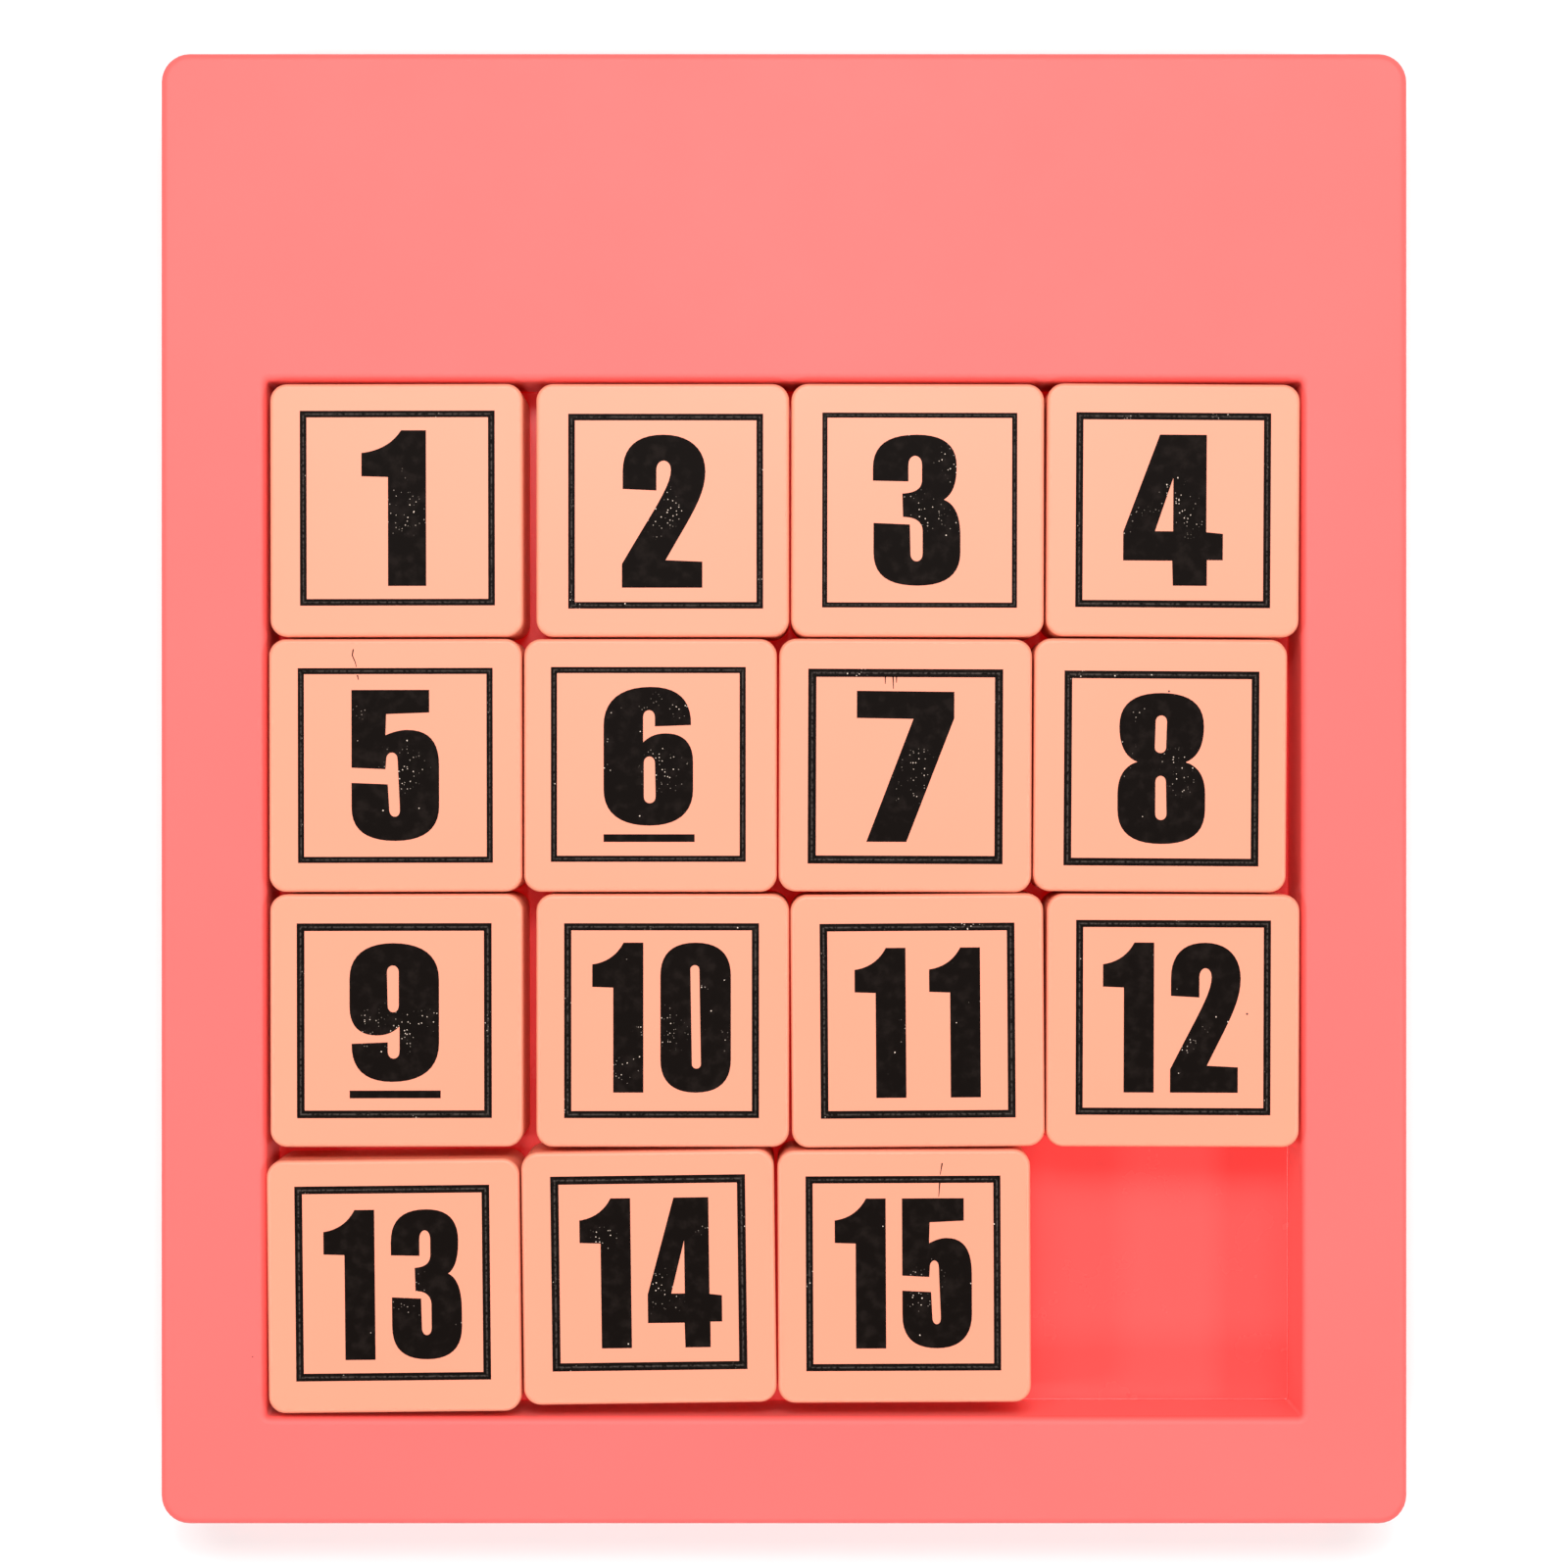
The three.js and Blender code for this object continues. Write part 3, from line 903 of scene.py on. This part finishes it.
def numeral(number):
    """The contours of a number, side by side and centred, with a line under a 6 or a 9."""
    signs = str(int(number))
    single = len(signs) == 1
    height = HEIGHTS.get(signs, SINGLE_HEIGHT if single else PAIR_HEIGHT)
    gap = ONES_GAP if signs == "11" else PAIR_GAP
    contours, x = [], 0
    for sign in signs:
        drawn, width = figure(sign, height, 1 if single else NARROW[sign])
        contours += [[point + Vector((x, 0)) for point in contour] for contour in drawn]
        x += width + gap
    total = x - gap
    foot = 0
    if signs in UNDERLINED:
        top = -UNDERLINE["gap"]
        foot = top - UNDERLINE["line"]
        end = total + UNDERLINE["overhang"]
        contours.append([Vector((0, top)), Vector((end, top)), Vector((end, foot)), Vector((0, foot))])
    middle = Vector((total / 2, (height + foot) / 2))
    return [[point - middle for point in contour] for contour in contours]


def hair(points):
    """The contour of a thin stroke along these points, narrowing to its end."""
    line = [Vector(point) * MM for point in points]
    along = (line[-1] - line[0]).normalized()
    side = Vector((-along.y, along.x)) * HAIR_WIDTH / 2
    widths = [1 - HAIR_TAPER * step / (len(line) - 1) for step in range(len(line))]
    left = [point + side * width for point, width in zip(line, widths)]
    right = [point - side * width for point, width in zip(line, widths)]
    return left + right[::-1]


def printed_shapes(name, contours, place, shift, finish, body):
    """A film of ink with these contours, let into the top of a tile."""
    bm = bmesh.new()
    edges = []
    for contour in contours:
        ring = [bm.verts.new((point.x, point.y, TILE_HEIGHT - INK_SUNK)) for point in contour]
        edges += [bm.edges.new((ring[i - 1], ring[i])) for i in range(len(ring))]
    faces = bmesh.ops.triangle_fill(bm, edges=edges, use_beauty=True, normal=(0, 0, 1))["geom"]
    faces = [part for part in faces if isinstance(part, bmesh.types.BMFace)]
    raised = bmesh.ops.extrude_face_region(bm, geom=faces)["geom"]
    verts = [part for part in raised if isinstance(part, bmesh.types.BMVert)]
    bmesh.ops.translate(bm, vec=(0, 0, INK_THICKNESS), verts=verts)
    film = mesh_object(name, bm)
    film.data.transform(place @ Matrix.Translation((*shift, 0)))
    dress(film, body, "printed_ink", [finish])


def printed_border(name, place, shift, line, finish, body):
    """The square round a numeral: a film whose middle line is marked, as the ink is thinner there."""
    bm = bmesh.new()
    across = bm.verts.layers.float.new(ACROSS)
    low = TILE_HEIGHT - INK_SUNK
    high = low + INK_THICKNESS
    outer, inner = BORDER_SIDE / 2, BORDER_SIDE / 2 - line
    middle = (outer + inner) / 2
    profile = [(outer, low, 0), (outer, high, 0), (middle, high, 1), (inner, high, 0), (inner, low, 0)]
    loops = []
    for half, z, mark in profile:
        loop = [bm.verts.new((x * half, y * half, z)) for x, y in ((1, 1), (-1, 1), (-1, -1), (1, -1))]
        for vert in loop:
            vert[across] = mark
        loops.append(loop)
    for here, there in zip(loops, loops[1:] + loops[:1]):
        for i in range(4):
            bm.faces.new((here[i - 1], here[i], there[i], there[i - 1]))
    film = mesh_object(name, bm)
    film.data.transform(place @ Matrix.Translation((*shift, 0)))
    dress(film, body, "printed_ink", [finish])


def make_print(number, place, shift, line, finish):
    """The square border on a tile, and its numeral with any stray hairs of ink."""
    body = f"tile_{number}"
    printed_border(f"border_{number}", place, shift, line, finish, body)
    off = Vector(NUMERAL_SHIFTS.get(number, (0, 0))) * MM
    contours = [[point + off for point in contour] for contour in numeral(number)]
    contours += [hair(points) for points in HAIRS.get(number, [])]
    printed_shapes(f"numeral_{number}", contours, place, shift, finish, body)


# ---- studio ----


def softbox(name, place, size, power):
    """A rectangular lamp that the camera doesn't see, turned towards the tray."""
    light = bpy.data.lights.new(name, "AREA")
    light.shape = "RECTANGLE"
    light.size, light.size_y = size
    light.energy = power
    made = bpy.data.objects.new(name, light)
    made.location = place
    made.visible_camera = False
    made.rotation_euler = (LAMP_TARGET - Vector(place)).to_track_quat("-Z", "Y").to_euler()
    bpy.context.scene.collection.objects.link(made)


def make_studio():
    """A white table, soft light from above and below, and the camera straight over the tray."""
    scene = bpy.context.scene
    scene.view_settings.view_transform = "Standard"
    low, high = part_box("tray")
    camera = bpy.data.objects.new("camera", bpy.data.cameras.new("camera"))
    camera.data.lens = LENS
    camera.data.sensor_width = SENSOR
    camera.location = (0, VIEW_RISE, high.z + VIEW_WIDTH * LENS / SENSOR)
    camera.data.clip_start = NEAR_CLIP
    scene.collection.objects.link(camera)
    scene.camera = camera

    bm = bmesh.new()
    opening = (high.x - low.x - 2 * TABLE_INSET, high.y - low.y - 2 * TABLE_INSET)
    sizes = [(TABLE_SIDE, TABLE_SIDE), opening]
    outer, inner = [[bm.verts.new(p) for p in outline(*size, TRAY_CORNER, TABLE_Z)] for size in sizes]
    for i in range(len(outer)):
        bm.faces.new((outer[i - 1], outer[i], inner[i], inner[i - 1]))
    table = mesh_object("table", bm)
    if table.data.polygons[0].normal.z < 0:
        table.data.flip_normals()
    table.data.materials.append(table_white())

    world = bpy.data.worlds.new("studio")
    world.use_nodes = True
    tree = world.node_tree
    seen = tree.nodes.new("ShaderNodeLightPath").outputs["Is Camera Ray"]
    strength = tree.nodes.new("ShaderNodeMapRange")
    strength.inputs["To Min"].default_value = WORLD_LIGHT
    strength.inputs["To Max"].default_value = WORLD_BACKDROP
    tree.links.new(seen, strength.inputs["Value"])
    tree.links.new(strength.outputs["Result"], tree.nodes["Background"].inputs["Strength"])
    tree.nodes["Background"].inputs["Color"].default_value = colour(WHITE)
    scene.world = world
    for name, (place, size, power) in LAMPS.items():
        softbox(name, place, size, power)


# ---- assembly ----


def tile_place(number):
    """Where a tile stands, with its turn, from its CAD cap."""
    node = f"tile_{number}_cap"
    low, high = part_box(node)
    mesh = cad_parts[node].data
    straight = TILE_SIDE - 2 * CAP_CORNER  # the run of a side between its rounded corners
    turn = 0
    for edge in mesh.edges:
        run = mesh.vertices[edge.vertices[1]].co - mesh.vertices[edge.vertices[0]].co
        if abs(run.length - straight) < LENGTH_NEAR and abs(run.z) < LEVEL_NEAR:
            turn = (math.atan2(run.y, run.x) + QUARTER_TURN / 2) % QUARTER_TURN - QUARTER_TURN / 2
    middle = Vector(((low.x + high.x) / 2, (low.y + high.y) / 2, low.z))
    return Matrix.Translation(middle) @ Matrix.Rotation(turn, 4, "Z")


make_studio()
coral = moulded("coral_plastic", CORAL, CORAL_DEEP, roughness=0.55, grain=0.006 * MM)
# The well floor: a darker copy of the coral for painted shade, with a painted red glow.
shaded_floor_coral = moulded(
    "well_floor_painted_shade", SHADED_FLOOR_CORAL, SHADED_FLOOR_CORAL_DEEP, roughness=0.27, grain=0.001 * MM, inner=PAINTED_GLOW_STRENGTH
)
# The well walls: a lighter copy of the coral, painted light.
lit_wall_coral = moulded("well_wall_painted_light", LIT_WALL_CORAL, LIT_WALL_CORAL_DEEP, roughness=0.5, grain=0.003 * MM)
peach = moulded("peach_plastic", PEACH, PEACH_DEEP, roughness=0.42, grain=0.003 * MM)
black = printed_ink((straight_low + straight_high) / 2, WELL_SIDE / PLACES)
zinc = plated("zinc_plate", ZINC, roughness=0.38, cloud=3 * MM)
nickel = plated("nickel_plate", NICKEL, roughness=0.22, cloud=2 * MM)

screw_boxes = [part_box(f"cover_screw_{number}") for number in SCREWS]
screw_places = [((low.x + high.x) / 2, (low.y + high.y) / 2) for low, high in screw_boxes]
make_tray([coral, shaded_floor_coral, lit_wall_coral], screw_places)
make_sheet(zinc)
make_cover(coral, screw_places)
for number in SCREWS:
    make_screw(number, zinc)
borders = [Vector(sizes) * MM for row in BORDERS for sizes in row]
for number, (right, up, line) in zip(TILES, borders):
    place = tile_place(number)
    make_cap(number, place, peach)
    make_base(number, place, peach)
    make_magnet(number, place, nickel)
    make_print(number, place, (right, up), line, black)
